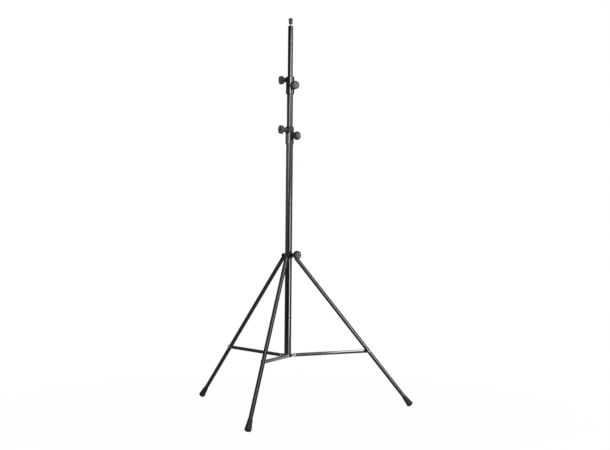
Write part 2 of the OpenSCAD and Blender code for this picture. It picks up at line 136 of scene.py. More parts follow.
scene = bpy.context.scene
scene.view_settings.view_transform = "Standard"
world = bpy.data.worlds.new("studio_sweep")
scene.world = world
world.use_nodes = True
sky = world.node_tree
sky.nodes.clear()
RAMP_LOW, RAMP_HIGH, DARK_TURN = -0.2, 1.0, math.radians(-8)
to_camera = Vector((eye.x, eye.y, 0.0)).normalized()
dark_side = Matrix.Rotation(DARK_TURN, 3, "Z") @ to_camera
direction = add(sky, "ShaderNodeTexCoord").outputs["Generated"]
height = add(sky, "ShaderNodeSeparateXYZ", {"Vector": direction})
slope = add(sky, "ShaderNodeMapRange", {"Value": height.outputs["Z"]},
            {"From Min": RAMP_LOW, "From Max": RAMP_HIGH})
room_side = add(sky, "ShaderNodeValToRGB", {"Fac": slope.outputs[0]})
bands = room_side.color_ramp.elements
for z, brightness in ((0.0, 0.40), (0.035, 0.85), (0.09, 1.0), (0.115, 0.5), (0.15, 0.05),
                      (0.70, 0.05), (0.90, 0.45)):
    bands.new((z - RAMP_LOW) / (RAMP_HIGH - RAMP_LOW)).color = grey(brightness)
bands[0].color = grey(0.28)
bands[-1].color = grey(0.55)
to_dark = add(sky, "ShaderNodeVectorMath", {0: direction}, {1: dark_side}, operation="DOT_PRODUCT")
camera_patch = add(sky, "ShaderNodeMapRange", {"Value": to_dark.outputs["Value"]},
                   {"From Min": 0.88, "From Max": 0.96, "To Min": 1.0, "To Max": 0.05},
                   interpolation_type="SMOOTHSTEP")
front_room = add(sky, "ShaderNodeMath", {0: room_side.outputs["Color"],
                                         1: camera_patch.outputs[0]}, operation="MULTIPLY")
to_sweep = add(sky, "ShaderNodeVectorMath", {0: direction}, {1: -to_camera},
               operation="DOT_PRODUCT")
far_side = add(sky, "ShaderNodeMapRange", {"Value": to_sweep.outputs["Value"]},
               {"From Min": -0.2, "From Max": 0.5, "To Min": 1.3, "To Max": 0.25},
               interpolation_type="SMOOTHSTEP")
room = add(sky, "ShaderNodeMath", {0: front_room.outputs[0], 1: far_side.outputs[0]},
           operation="MULTIPLY")
sweep = add(sky, "ShaderNodeMapRange", {"Value": to_sweep.outputs["Value"]},
            {"From Min": 0.94, "From Max": 0.99}, interpolation_type="SMOOTHSTEP")
studio = add(sky, "ShaderNodeMix", {"Factor": sweep.outputs[0], "A": room.outputs[0]}, {"B": 1.0})
print("world:", world.name, "with", len(bands), "bands of brightness")

# %% [markdown]
# A camera ray sees plain white, a reflection sees this room in a cool tint,
# and all other rays get an even, weak fill. The Light Path node tells the
# kinds of ray apart.

# %% World: what each kind of ray sees
FILL = 0.34
ray = add(sky, "ShaderNodeLightPath")
mirrored = add(sky, "ShaderNodeMath", {0: ray.outputs["Is Glossy Ray"],
                                       1: ray.outputs["Is Transmission Ray"]}, operation="MAXIMUM")
fill = add(sky, "ShaderNodeMix", {"Factor": mirrored.outputs[0], "B": studio.outputs[0]},
           {"A": FILL})
level = add(sky, "ShaderNodeMix", {"Factor": ray.outputs["Is Camera Ray"], "A": fill.outputs[0]},
            {"B": 1.0})
tint = add(sky, "ShaderNodeMix", {"Factor": mirrored.outputs[0]},
           {COLOUR_A: paint("#ffffff"), COLOUR_B: paint("#dfe8f8")}, data_type="RGBA")
backdrop = add(sky, "ShaderNodeBackground", {"Color": tint.outputs[MIXED],
                                             "Strength": level.outputs[0]})
add(sky, "ShaderNodeOutputWorld", {"Surface": backdrop.outputs[0]})
print("world:", world.name, "with", len(sky.nodes), "nodes")

# %% [markdown]
# The floor is part of the same white sweep. Its matt paper has one tone for
# most rays and another for reflections. In a reflection the floor carries
# painted light and shade: painted shade, near black, from about three metres
# in front of the stand, a painted half shade near it, and painted light, white,
# behind, where the sweep is lit. The dark part is what makes the lower column
# so black beside its streak.

# %% Floor: painted light and shade that reflections see
FLOOR_SIZE, RAMP_REACH = 80.0, 4.0
PAINTED_SHADE_FLOOR, PAINTED_HALF_SHADE_PAPER, LIT_PAPER = "#202124", "#b8b8b8", "#ffffff"
bpy.ops.object.select_all(action="DESELECT")
bpy.ops.mesh.primitive_plane_add(size=FLOOR_SIZE, location=(0, 0, 0))
floor = bpy.context.object
floor.name = "sweep_floor"
white_sweep = bpy.data.materials.new("matt_white_sweep")
white_sweep.use_nodes = True
tree = white_sweep.node_tree
tree.nodes.clear()
ray = add(tree, "ShaderNodeLightPath")
spot = add(tree, "ShaderNodeTexCoord").outputs["Object"]
behind = add(tree, "ShaderNodeVectorMath", {0: spot}, {1: -to_camera}, operation="DOT_PRODUCT")
depth = add(tree, "ShaderNodeMapRange", {"Value": behind.outputs["Value"]},
            {"From Min": -RAMP_REACH, "From Max": RAMP_REACH})
painted_floor_light_and_shade = add(tree, "ShaderNodeValToRGB", {"Fac": depth.outputs[0]})
edges = painted_floor_light_and_shade.color_ramp.elements
# Painted shade in front, painted half shade near the stand, painted light behind; only reflections
# see it.
for metres, colour in ((-3.2, PAINTED_SHADE_FLOOR), (-2.6, PAINTED_HALF_SHADE_PAPER), (1.0, PAINTED_HALF_SHADE_PAPER),
                       (2.0, LIT_PAPER)):
    edges.new((metres + RAMP_REACH) / (2 * RAMP_REACH)).color = paint(colour)
edges[0].color = paint(PAINTED_SHADE_FLOOR)
edges[-1].color = paint(LIT_PAPER)
tone = add(tree, "ShaderNodeMix", {"Factor": ray.outputs["Is Glossy Ray"],
                                   COLOUR_B: painted_floor_light_and_shade.outputs["Color"]},
           {COLOUR_A: paint("#e6e6e6")}, data_type="RGBA")
print("floor:", floor.name, FLOOR_SIZE, "m wide")

# %% [markdown]
# Seen by the camera the floor is mostly a plain white glow, with enough matt
# white mixed in near the stand to keep its soft shadow. Further out the glow
# takes over, so that no horizon shows. Every other ray meets the matt paper
# alone.

# %% Floor: glow and matt paper
glow = add(tree, "ShaderNodeEmission", values={"Color": paint("#ffffff"), "Strength": 1.0})
matt = add(tree, "ShaderNodeBsdfDiffuse", {"Color": tone.outputs[MIXED]})
reach = add(tree, "ShaderNodeVectorMath", {0: spot}, operation="LENGTH")
share = add(tree, "ShaderNodeMapRange", {"Value": reach.outputs["Value"]},
            {"From Min": 0.8, "From Max": 2.4, "To Min": 0.97, "To Max": 1.0},
            interpolation_type="SMOOTHSTEP")
seen = add(tree, "ShaderNodeMath", {0: ray.outputs["Is Camera Ray"], 1: share.outputs[0]},
           operation="MULTIPLY")
both = add(tree, "ShaderNodeMixShader", {0: seen.outputs[0], 1: matt.outputs[0],
                                         2: glow.outputs[0]})
add(tree, "ShaderNodeOutputMaterial", {"Surface": both.outputs[0]})
floor.data.materials.append(white_sweep)
print("floor finish:", white_sweep.name)

# %% [markdown]
# Six soft boxes make the streaks. A long, slanted strip hangs in front above
# the camera: its streak lies on the upper tubes and wanders to the left on
# the way down. Three boxes stand on the right, one above the other, and draw
# the bright line of the column and the right leg. A box overhead lights the
# front leg and the tops of the knobs, and a small one near the floor lifts
# the right strut. Each is placed by its bearing from the camera's direction:
# a tube turns a reflection by twice the angle of its surface, so the place of
# a streak across the tube gives the bearing of its lamp.

# %% Soft boxes
def soft_box(name, bearing, distance, low, high, width, power, tilt=0.0):
    """An area light that faces the column, by its bearing right of the camera."""
    away = Matrix.Rotation(math.radians(bearing), 3, "Z") @ to_camera
    lamp_data = bpy.data.lights.new(name, "AREA")
    lamp_data.shape = "RECTANGLE"
    lamp_data.size, lamp_data.size_y = width, high - low
    lamp_data.energy = power
    lamp = bpy.data.objects.new(name, lamp_data)
    bpy.context.scene.collection.objects.link(lamp)
    face = (-away).to_track_quat("-Z", "Y").to_matrix().to_4x4()
    lamp.matrix_world = (Matrix.Translation(away * distance + Vector((0, 0, (low + high) / 2)))
                         @ face @ Matrix.Rotation(math.radians(tilt), 4, "Z"))
    return lamp


soft_boxes = [
    soft_box("front_strip", bearing=8, distance=4.2, low=2.10, high=2.60, width=7.0,
             power=90, tilt=13),
    soft_box("low_right_box", bearing=47, distance=5.0, low=0.02, high=0.72, width=1.9,
             power=56),
    soft_box("mid_right_box", bearing=46, distance=5.05, low=0.75, high=1.4, width=3.0,
             power=34),
    soft_box("high_right_box", bearing=62, distance=5.0, low=2.0, high=3.2, width=2.6,
             power=28),
    soft_box("overhead_box", bearing=60, distance=2.2, low=2.7, high=4.3, width=2.8,
             power=55),
    soft_box("floor_bounce", bearing=30, distance=2.2, low=0.03, high=0.30, width=1.3,
             power=3),
]
for lamp in soft_boxes:
    lamp.visible_camera = False
print("lights:", [lamp.name for lamp in soft_boxes])

# %% [markdown]
# ## The finishes
#
# Each finish starts from what the real surface is and how it was made. The
# pattern sizes are real ones in millimetres: a noise texture's scale is the
# number of blots per metre, so one divided by the blot's size gives it.

# %% A new finish: shader, output and object coordinates
def per_metre(size_mm):
    """Texture scale for a pattern whose blots are this many millimetres wide."""
    return 1.0 / (size_mm * MM)


def new_finish(name, **shader_values):
    """A material with one Principled shader: returns it, its tree, shader and coordinates."""
    finish = bpy.data.materials.new(name)
    finish.use_nodes = True
    tree = finish.node_tree
    tree.nodes.clear()
    values = {key.replace("_", " "): value for key, value in shader_values.items()}
    shader = add(tree, "ShaderNodeBsdfPrincipled", values=values)
    add(tree, "ShaderNodeOutputMaterial", {"Surface": shader.outputs["BSDF"]})
    spot = add(tree, "ShaderNodeTexCoord").outputs["Object"]
    return finish, tree, shader, spot


print("a 2 mm blot needs a scale of", per_metre(2))

# %% [markdown]
# Stove enamel on steel tube is sprayed and baked, so it is glossy with a faint
# orange peel, about one and a half millimetres from crest to crest. Handling
# leaves cloudy patches where the gloss is lower, and dust in the spray booth
# leaves pale pin points. The tubes that slide also carry fine scuffs along
# their length, so they get the same recipe with long, thin blots as well: the
# noise for these is stretched along the tube.

# %% Stove enamel, plain and scuffed by sliding
def stove_enamel(name, scuffs):
    """Baked gloss black on steel; scuffs from 0 to 1 adds sliding marks along Z."""
    finish, tree, shader, spot = new_finish(name, IOR=1.5, Coat_Weight=0.6, Coat_Roughness=0.07)
    patches = add(tree, "ShaderNodeTexNoise", {"Vector": spot},
                  {"Scale": per_metre(45), "Detail": 2.0, "Roughness": 0.5})
    dust = add(tree, "ShaderNodeTexNoise", {"Vector": spot},
               {"Scale": per_metre(1.8), "Detail": 1.0})
    specks = add(tree, "ShaderNodeMapRange", {"Value": dust.outputs["Fac"]},
                 {"From Min": 0.76, "From Max": 0.86, "To Min": 0.0, "To Max": 0.08})
    stretched = add(tree, "ShaderNodeMapping", {"Vector": spot}, {"Scale": (1.0, 1.0, 0.012)})
    lines = add(tree, "ShaderNodeTexNoise", {"Vector": stretched.outputs["Vector"]},
                {"Scale": per_metre(1.6), "Detail": 2.0, "Roughness": 0.7})
    scratches = add(tree, "ShaderNodeMapRange", {"Value": lines.outputs["Fac"]},
                    {"From Min": 0.56, "From Max": 0.74, "To Min": 0.0, "To Max": scuffs})
    tone = add(tree, "ShaderNodeMix", {"Factor": patches.outputs["Fac"]},
               {COLOUR_A: paint("#07090d"), COLOUR_B: paint("#11141b")}, data_type="RGBA")
    dusty = add(tree, "ShaderNodeMix",
                {"Factor": specks.outputs[0], COLOUR_A: tone.outputs[MIXED]},
                {COLOUR_B: paint("#4c4d50")}, data_type="RGBA")
    worn = add(tree, "ShaderNodeMix",
               {"Factor": scratches.outputs[0], COLOUR_A: dusty.outputs[MIXED]},
               {COLOUR_B: paint("#36373b")}, data_type="RGBA")
    haze = add(tree, "ShaderNodeMapRange", {"Value": patches.outputs["Fac"]},
               {"From Min": 0.3, "From Max": 0.7, "To Min": 0.14, "To Max": 0.19})
    rubbed = add(tree, "ShaderNodeMath", {0: scratches.outputs[0], 2: haze.outputs[0]},
                 {1: 0.25}, operation="MULTIPLY_ADD")
    peel = add(tree, "ShaderNodeTexNoise", {"Vector": spot},
               {"Scale": per_metre(1.5), "Detail": 1.0})
    dents = add(tree, "ShaderNodeBump", {"Height": peel.outputs["Fac"]},
                {"Strength": 0.2, "Distance": 0.001 * MM})
    tree.links.new(worn.outputs[MIXED], shader.inputs["Base Color"])
    tree.links.new(rubbed.outputs[0], shader.inputs["Roughness"])
    tree.links.new(dents.outputs["Normal"], shader.inputs["Normal"])
    return finish


leg_enamel = stove_enamel("stove_enamel_legs", scuffs=0.0)
stage_enamel = stove_enamel("stove_enamel_sliding", scuffs=0.12)
print("finishes:", leg_enamel.name, stage_enamel.name)

# %% [markdown]
# The clamp sleeves, the collar, the hub and the end plug are die castings under
# the same black, but thicker and glossier. The casting's skin shows through as
# soft, three-millimetre ripples, and the paint has rubbed thin in small spots.

# %% Enamel over die casting
cast_enamel, tree, shader, spot = new_finish(
    "gloss_enamel_on_casting", IOR=1.5, Coat_Weight=1.0, Coat_Roughness=0.05)
rubs = add(tree, "ShaderNodeTexNoise", {"Vector": spot},
           {"Scale": per_metre(9), "Detail": 4.0, "Roughness": 0.65})
tone = add(tree, "ShaderNodeMix", {"Factor": rubs.outputs["Fac"]},
           {COLOUR_A: paint("#07080c"), COLOUR_B: paint("#101319")}, data_type="RGBA")
thin = add(tree, "ShaderNodeMapRange", {"Value": rubs.outputs["Fac"]},
           {"From Min": 0.68, "From Max": 0.78, "To Min": 0.0, "To Max": 0.25})
chipped = add(tree, "ShaderNodeMix", {"Factor": thin.outputs[0], COLOUR_A: tone.outputs[MIXED]},
              {COLOUR_B: paint("#55565a")}, data_type="RGBA")
haze = add(tree, "ShaderNodeMapRange", {"Value": rubs.outputs["Fac"]},
           {"From Min": 0.3, "From Max": 0.8, "To Min": 0.07, "To Max": 0.15})
skin = add(tree, "ShaderNodeTexNoise", {"Vector": spot}, {"Scale": per_metre(3), "Detail": 2.0})
ripples = add(tree, "ShaderNodeBump", {"Height": skin.outputs["Fac"]},
              {"Strength": 0.25, "Distance": 0.010 * MM})
tree.links.new(chipped.outputs[MIXED], shader.inputs["Base Color"])
tree.links.new(haze.outputs[0], shader.inputs["Roughness"])
tree.links.new(ripples.outputs["Normal"], shader.inputs["Normal"])
print("finish:", cast_enamel.name)

# %% [markdown]
# The lower clamp is the one that hands reach most, and they have dulled the
# gloss of its head ring, so the ring looks darker than the sleeve below it.
# Its finish is a copy of the enamel. A Compare node gives one inside the
# ring's height and nothing elsewhere, and there it takes the clear coat away
# and makes the paint rougher.

# %% The same enamel, worn by hands
worn_enamel = cast_enamel.copy()
worn_enamel.name = "gloss_enamel_worn_by_hands"
tree = worn_enamel.node_tree
shader, haze = tree.nodes[shader.name], tree.nodes[haze.name]
HEAD_RING, WORN_COAT, WORN_ROUGHNESS = 31.0 * MM, 0.1, 0.32
ring_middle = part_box("lower_clamp_sleeve")[1].z - HEAD_RING / 2
spot = add(tree, "ShaderNodeTexCoord").outputs["Object"]
lift = add(tree, "ShaderNodeSeparateXYZ", {"Vector": spot})
gripped = add(tree, "ShaderNodeMath", {0: lift.outputs["Z"]},
              {1: ring_middle, 2: HEAD_RING / 2}, operation="COMPARE")
gloss = add(tree, "ShaderNodeMapRange", {"Value": gripped.outputs[0]},
            {"To Min": 1.0, "To Max": WORN_COAT})
dulled = add(tree, "ShaderNodeMath", {0: gripped.outputs[0], 2: haze.outputs[0]},
             {1: WORN_ROUGHNESS}, operation="MULTIPLY_ADD")
tree.links.new(gloss.outputs[0], shader.inputs["Coat Weight"])
tree.links.new(dulled.outputs[0], shader.inputs["Roughness"])
print("finish:", worn_enamel.name, "from", round((ring_middle - HEAD_RING / 2) / MM, 1), "mm up")

# %% [markdown]
# Five moulded finishes follow one recipe: glass-filled nylon for the grips and,
# in a paler grey, for their faces, black nylon for the bushes and
# knuckles, the same from a polished mould for the cap, and rubber for the
# feet. The faces' paler grey is partly painted light: it also stands in for the
# light that the flat face catches. A mould that was spark-eroded leaves a fine,
# even grain. It is drawn at six tenths of a millimetre or more, coarser than
# life, so that it shows in the render. Rubber has no gloss, and picks up grey
# dust near the floor.

# %% Moulded nylon and rubber
def moulded(name, dark, light, roughness, grain_mm, grain_depth_mm, dust_height_mm=0.0):
    """A moulded finish between two tones, with grain, and dust below a height."""
    finish, tree, shader, spot = new_finish(name, IOR=1.5)
    cloud = add(tree, "ShaderNodeTexNoise", {"Vector": spot},
                {"Scale": per_metre(14), "Detail": 4.0, "Roughness": 0.6})
    grain = add(tree, "ShaderNodeTexNoise", {"Vector": spot},
                {"Scale": per_metre(grain_mm), "Detail": 2.0})
    mixed = add(tree, "ShaderNodeMath", {0: cloud.outputs["Fac"], 1: grain.outputs["Fac"]},
                operation="MULTIPLY")
    shade = add(tree, "ShaderNodeMapRange", {"Value": mixed.outputs[0]},
                {"From Min": 0.12, "From Max": 0.42})
    tone = add(tree, "ShaderNodeMix", {"Factor": shade.outputs[0]},
               {COLOUR_A: paint(dark), COLOUR_B: paint(light)}, data_type="RGBA")
    colour = tone.outputs[MIXED]
    if dust_height_mm:
        lift = add(tree, "ShaderNodeSeparateXYZ", {"Vector": spot})
        low = add(tree, "ShaderNodeMapRange", {"Value": lift.outputs["Z"]},
                  {"From Min": 0.0, "From Max": dust_height_mm * MM, "To Min": 0.4, "To Max": 0.0})
        patchy = add(tree, "ShaderNodeMath", {0: low.outputs[0], 1: cloud.outputs["Fac"]},
                     operation="MULTIPLY")
        dusty = add(tree, "ShaderNodeMix", {"Factor": patchy.outputs[0], COLOUR_A: colour},
                    {COLOUR_B: paint("#4c4a47")}, data_type="RGBA")
        colour = dusty.outputs[MIXED]
    spread = add(tree, "ShaderNodeMapRange", {"Value": cloud.outputs["Fac"]},
                 {"From Min": 0.3, "From Max": 0.7,
                  "To Min": roughness - 0.05, "To Max": roughness + 0.05})
    pits = add(tree, "ShaderNodeBump", {"Height": grain.outputs["Fac"]},
               {"Strength": 0.6, "Distance": grain_depth_mm * MM})
    tree.links.new(colour, shader.inputs["Base Color"])
    tree.links.new(spread.outputs[0], shader.inputs["Roughness"])
    tree.links.new(pits.outputs["Normal"], shader.inputs["Normal"])
    return finish


grip_nylon = moulded("glass_filled_nylon_grip", "#242527", "#37383a", 0.50, 0.7, 0.05)
# The face's paler grey is partly painted light, standing in for the light the flat face catches.
face_nylon_with_painted_light = moulded("glass_filled_nylon_face_painted_light", "#626365", "#7a7b7d", 0.48, 0.7, 0.05)
black_nylon = moulded("black_nylon_bush", "#0e0f11", "#1d1e21", 0.42, 0.6, 0.03)
cap_nylon = moulded("polished_nylon_cap", "#0a0b0d", "#15161a", 0.20, 0.6, 0.005)
foot_rubber = moulded("vulcanised_rubber_foot", "#0e0f10", "#202122", 0.72, 1.2, 0.10, 22.0)
print("finishes:", [m.name for m in (grip_nylon, face_nylon_with_painted_light, black_nylon, cap_nylon, foot_rubber)])

# %% [markdown]
# Bright zinc plate is a true metal: its colour comes from the reflection, with
# a cloudy passivation film a few millimetres across that leans to blue or to
# straw. The leg bolts and nuts are blackened steel, which is the same recipe
# in near black, and the pressure pads are plain turned brass. A metal keeps
# the shader's default IOR.

# %% Zinc plate, black oxide and brass
def plated(name, cool, warm, roughness):
    """A bright metal whose tint wanders between two tones."""
    finish, tree, shader, spot = new_finish(name, Metallic=1.0)
    film = add(tree, "ShaderNodeTexNoise", {"Vector": spot},
               {"Scale": per_metre(4), "Detail": 3.0, "Roughness": 0.6})
    tone = add(tree, "ShaderNodeMix", {"Factor": film.outputs["Fac"]},
               {COLOUR_A: paint(cool), COLOUR_B: paint(warm)}, data_type="RGBA")
    spread = add(tree, "ShaderNodeMapRange", {"Value": film.outputs["Fac"]},
                 {"From Min": 0.3, "From Max": 0.7,
                  "To Min": roughness - 0.06, "To Max": roughness + 0.08})
    tree.links.new(tone.outputs[MIXED], shader.inputs["Base Color"])
    tree.links.new(spread.outputs[0], shader.inputs["Roughness"])
    return finish


zinc_plate = plated("bright_zinc_plate", "#c4cad2", "#d4d1c8", 0.40)
black_oxide = plated("black_oxide_steel", "#15171b", "#26241f", 0.34)
turned_brass = plated("turned_brass", "#b08d4a", "#c4a25c", 0.25)
print("finishes:", [m.name for m in (zinc_plate, black_oxide, turned_brass)])

# %% [markdown]
# ## Finishes on the CAD nodes
#
# The nodes are named for what they are, so a short list of words is enough to
# give each one its finish. The first rule that fits wins.

# %% Dress the CAD nodes
node_finishes = [
    (("column_tube", "middle_tube", "top_tube"), stage_enamel),
    (("_pad",), turned_brass),
    (("bolts", "nuts"), black_oxide),
    (("rivet", "screw", "threaded_stud"), zinc_plate),
    (("leg_tube", "strut_"), leg_enamel),
    (("lower_clamp_sleeve",), worn_enamel),
    (("clamp_sleeve", "leg_collar", "base_hub", "top_plug"), cast_enamel),
    (("foot",), foot_rubber),
    (("_knob",), grip_nylon),
    (("cap",), cap_nylon),
    (("bush", "liner", "knuckle", "guide"), black_nylon),
]
for name, node in nodes.items():
    finish = next(f for words, f in node_finishes if any(w in name for w in words))
    node.data.materials.clear()
    node.data.materials.append(finish)
print("dressed", len(nodes), "nodes")

# %% [markdown]
# ## Tools for the new pieces
#
# Most small parts of a stand are turned: knobs, feet, rivets, washers. By
# hand one adds a filled circle and then, ring by ring, extrudes it and scales
# the new ring. One helper does the same from a list of heights and radii in
# millimetres, and a second one lists the rings of a rounded corner. Another
# selects what passes a test, because every edit-mode operator works on the
# selection. The last ones join and copy pieces, and put a finished mesh in its
# place on the stand while the object itself stays at the origin.

# %% Helpers that shape a piece
def only(*pieces):
    """Selects these pieces alone, the first one active."""
    bpy.ops.object.select_all(action="DESELECT")
    for piece in pieces:
        piece.select_set(True)
    bpy.context.view_layer.objects.active = pieces[0]


def outward():
    """Points all faces of the piece in edit mode outwards and leaves edit mode."""
    bpy.ops.mesh.select_all(action="SELECT")
    bpy.ops.mesh.normals_make_consistent(inside=False)
    bpy.ops.object.mode_set(mode="OBJECT")


def turned(name, rings, sides=64):
    """A closed, turned piece along +Z from rings of (height, radius) in mm."""
    bpy.ops.object.select_all(action="DESELECT")
    z, r = rings[0]
    bpy.ops.mesh.primitive_circle_add(vertices=sides, radius=r * MM, fill_type="NGON")
    piece = bpy.context.object
    piece.name = name
    bpy.ops.object.mode_set(mode="EDIT")
    bpy.ops.mesh.select_all(action="SELECT")
    bpy.ops.transform.translate(value=(0, 0, z * MM))
    for next_z, next_r in rings[1:]:
        step = (0, 0, (next_z - z) * MM)
        bpy.ops.mesh.extrude_region_move(TRANSFORM_OT_translate={"value": step})
        bpy.ops.transform.resize(value=(next_r / r, next_r / r, 1.0),
                                 center_override=(0, 0, next_z * MM))
        z, r = next_z, next_r
    outward()
    return piece


def quarter_round(z, r, size):
    """Rings of a rounded upper corner about (z, r), from its widest to its top, in mm."""
    angles = [math.radians(step) for step in range(0, 91, 15)]
    return [(z + size * math.sin(a), r + size * math.cos(a)) for a in angles]


def pick(piece, test, kind="VERT"):
    """Enters edit mode with only the vertices or edges selected whose middle passes the test."""
    only(piece)
    bpy.ops.object.mode_set(mode="EDIT")
    bpy.ops.mesh.select_mode(type=kind)
    bpy.ops.mesh.select_all(action="DESELECT")
    bpy.ops.object.mode_set(mode="OBJECT")
    points = piece.data.vertices
    if kind == "VERT":
        for point in points:
            point.select = test(point.co)
    else:
        for edge in piece.data.edges:
            edge.select = test((points[edge.vertices[0]].co + points[edge.vertices[1]].co) / 2)
    bpy.ops.object.mode_set(mode="EDIT")
    bpy.ops.mesh.select_mode(type=kind)


print("shaping helpers ready")

# %% Helpers that join, copy and place pieces
LEG_BEARINGS, SMOOTH_ANGLE = (0, 120, 240), math.radians(35)


def merged(*pieces):
    """Joins pieces into the first one."""
    only(*pieces)
    bpy.ops.object.join()
    return pieces[0]


def copied(piece, name):
    """A copy with its own mesh."""
    twin = piece.copy()
    twin.data = piece.data.copy()
    twin.name = name
    bpy.context.scene.collection.objects.link(twin)
    return twin


def set_in_place(piece, place, finish, body, slot_name, *replaced):
    """Puts the mesh in its place, smooths it, dresses it and lets it ride on its body."""
    piece.data.name = piece.name
    only(piece)
    piece.matrix_world = place
    bpy.ops.object.transform_apply(location=True, rotation=True, scale=True)
    bpy.ops.object.shade_smooth_by_angle(angle=SMOOTH_ANGLE)
    if not piece.data.materials:
        piece.data.materials.append(finish)
    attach(piece, body)
    if replaced:
        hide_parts(*replaced)


def around(bearing):
    """A turn about the column, in degrees."""
    return Matrix.Rotation(math.radians(bearing), 4, "Z")


print("placing helpers ready for", len(LEG_BEARINGS), "legs")

# %% [markdown]
# ## The knobs
#
# Five knobs screw into the clamps. Each is a moulded grip with a short neck, a
# bead where the neck meets the head, eight finger flutes round the rim and a
# flat face with a recess. The rings below are the knob's profile from its
# neck to its face. The flutes come last: the rim's vertices are taken in
# groups, one group for each place between two lobes, and scaled towards the
# axis. The cap on the stud has the same kind of flutes, so this is a helper.

# %% Finger flutes
FLUTE_POWER = 0.8  # below one, a flute is broader than a plain cosine wave


def press_flutes(piece, sides, flutes, depth, radius, on_rim):
    """Presses flutes of a depth in mm into a turned piece where on_rim is true."""
    per_flute = sides // flutes
    for step in range(1, per_flute):
        deep = depth * (0.5 - 0.5 * math.cos(2 * math.pi * step / per_flute)) ** FLUTE_POWER

        def in_group(co):
            off = (math.atan2(co.y, co.x) * sides / (2 * math.pi) - step) % per_flute
            return min(off, per_flute - off) < 0.1 and on_rim(co)

        pick(piece, in_group)
        share = 1.0 - deep / radius
        bpy.ops.transform.resize(value=(share, share, 1.0), center_override=(0, 0, 0))
        bpy.ops.object.mode_set(mode="OBJECT")


print("flute helper ready")

# %% Model one knob grip
KNOB_R, KNOB_SIDES, KNOB_FLUTES, KNOB_FLUTE_DEPTH, KNOB_RIM_R = 23.5, 96, 8, 1.9, 19.5
grip = turned("knob_grip", [
    (0.0, 12.3), (0.7, 13.0), (4.8, 13.2), (5.2, 14.1), (6.6, 14.1), (7.1, 13.6), (8.6, 14.2),
    (9.2, 17.2), (10.0, 20.8), (10.8, 22.6), (12.1, KNOB_R), (19.5, KNOB_R), (27.4, KNOB_R),
    (29.4, 22.9), (30.8, 21.7), (31.4, 19.9), (31.5, 17.9), (31.5, 13.3), (31.1, 12.6),
    (29.9, 12.4), (29.9, 11.0)], KNOB_SIDES)
press_flutes(grip, KNOB_SIDES, KNOB_FLUTES, KNOB_FLUTE_DEPTH, KNOB_R,
             lambda co: co.xy.length > KNOB_RIM_R * MM)
print("knob grip:", len(grip.data.polygons), "faces")

# %% [markdown]
# A cap of paler grey is pressed into the recess, and its paleness is partly
# painted light for the lit face. Its raised ring catches the light, and its
# middle gets the grip's darker material as painted shade in the small hollow.

# %% Model one knob face
PAINTED_SHADE_MIDDLE_R = 6.1
face = turned("knob_face", [
    (29.4, 12.2), (30.7, 12.2), (31.25, 11.6), (31.3, 11.1), (31.3, 6.8), (30.9, 6.2),
    (30.2, 6.0), (30.2, 2.4), (30.6, 1.9), (30.7, 0.6)], 48)
face.data.materials.append(face_nylon_with_painted_light)
# The middle is painted shade: the grip's darker nylon stands in for the shadow in the face's
# hollow.
face.data.materials.append(grip_nylon)
for polygon in face.data.polygons:
    polygon.material_index = int(polygon.center.xy.length < PAINTED_SHADE_MIDDLE_R * MM)
print("knob face:", len(face.data.polygons), "faces")

# %% [markdown]
# A knob's place is its bearing round the column and the distance of the boss
# that it screws into. Its height is read from its CAD node.

# %% Set the five knobs in place
SIDE_GAP, COLLAR_BOSS, CLAMP_BOSS = 0.3, 46.0, 30.0
knob_places = {"collar": (300, COLLAR_BOSS), "lower_high": (188, CLAMP_BOSS),
               "lower_low": (308, CLAMP_BOSS), "upper_high": (148, CLAMP_BOSS),
               "upper_low": (288, CLAMP_BOSS)}
for name, (bearing, boss_face) in knob_places.items():
    low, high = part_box(name + "_knob")
    out = Vector(((boss_face + SIDE_GAP) * MM, 0, (low.z + high.z) / 2))
    place = around(bearing) @ Matrix.Translation(out) @ Matrix.Rotation(math.pi / 2, 4, "Y")
    set_in_place(copied(grip, name + "_knob_grip"), place, grip_nylon, name + "_knob",
                 "grip_plastic", name + "_knob")
    set_in_place(copied(face, name + "_knob_face"), place, face_nylon_with_painted_light, name + "_knob",
                 "grip_plastic")
bpy.data.objects.remove(grip)
bpy.data.objects.remove(face)
print("knobs:", len(knob_places))

# %% [markdown]
# ## Threads
#
# The stud on top carries a real screw thread that shows under the cap, and
# the leg bolts show theirs past the nuts. A thread is a triangle that climbs
# round a core: three vertices, a Screw modifier with the pitch as its rise,
# and two faces to close the ends.

# %% A threaded rod
HALF_TOOTH, TOOTH_DEPTH, TIP_TAPER = 0.48, 0.55, 0.7  # the first two as shares of the pitch


def threaded_rod(name, radius, pitch, start, end, tip=0.8, sides=32):
    """A rod along +Z with a helical thread from start to end, in mm."""
    tooth = pitch * HALF_TOOTH
    root = radius - TOOTH_DEPTH * pitch
    rod = turned(name, [(start, root), (end - tip, root), (end, root - TIP_TAPER * tip)], sides)
    bpy.ops.object.select_all(action="DESELECT")
    bpy.ops.mesh.primitive_circle_add(vertices=3, radius=tooth * MM)
    ridge = bpy.context.object
    corners = ((radius, 0.0), (root - 0.1, tooth), (root - 0.1, -tooth))
    for vertex, (r, z) in zip(ridge.data.vertices, corners):
        vertex.co = (r * MM, 0.0, (z + start + tooth) * MM)
    climb = ridge.modifiers.new("thread", "SCREW")
    climb.axis = "Z"
    climb.screw_offset = pitch * MM
    climb.iterations = int((end - start - tip - 2 * tooth) / pitch)
    climb.steps = climb.render_steps = sides
    only(ridge)
    bpy.ops.object.modifier_apply(modifier="thread")
    bpy.ops.object.mode_set(mode="EDIT")
    bpy.ops.mesh.select_mode(type="EDGE")
    bpy.ops.mesh.select_all(action="DESELECT")
    bpy.ops.mesh.select_non_manifold()
    bpy.ops.mesh.edge_face_add()
    outward()
    return merged(rod, ridge)


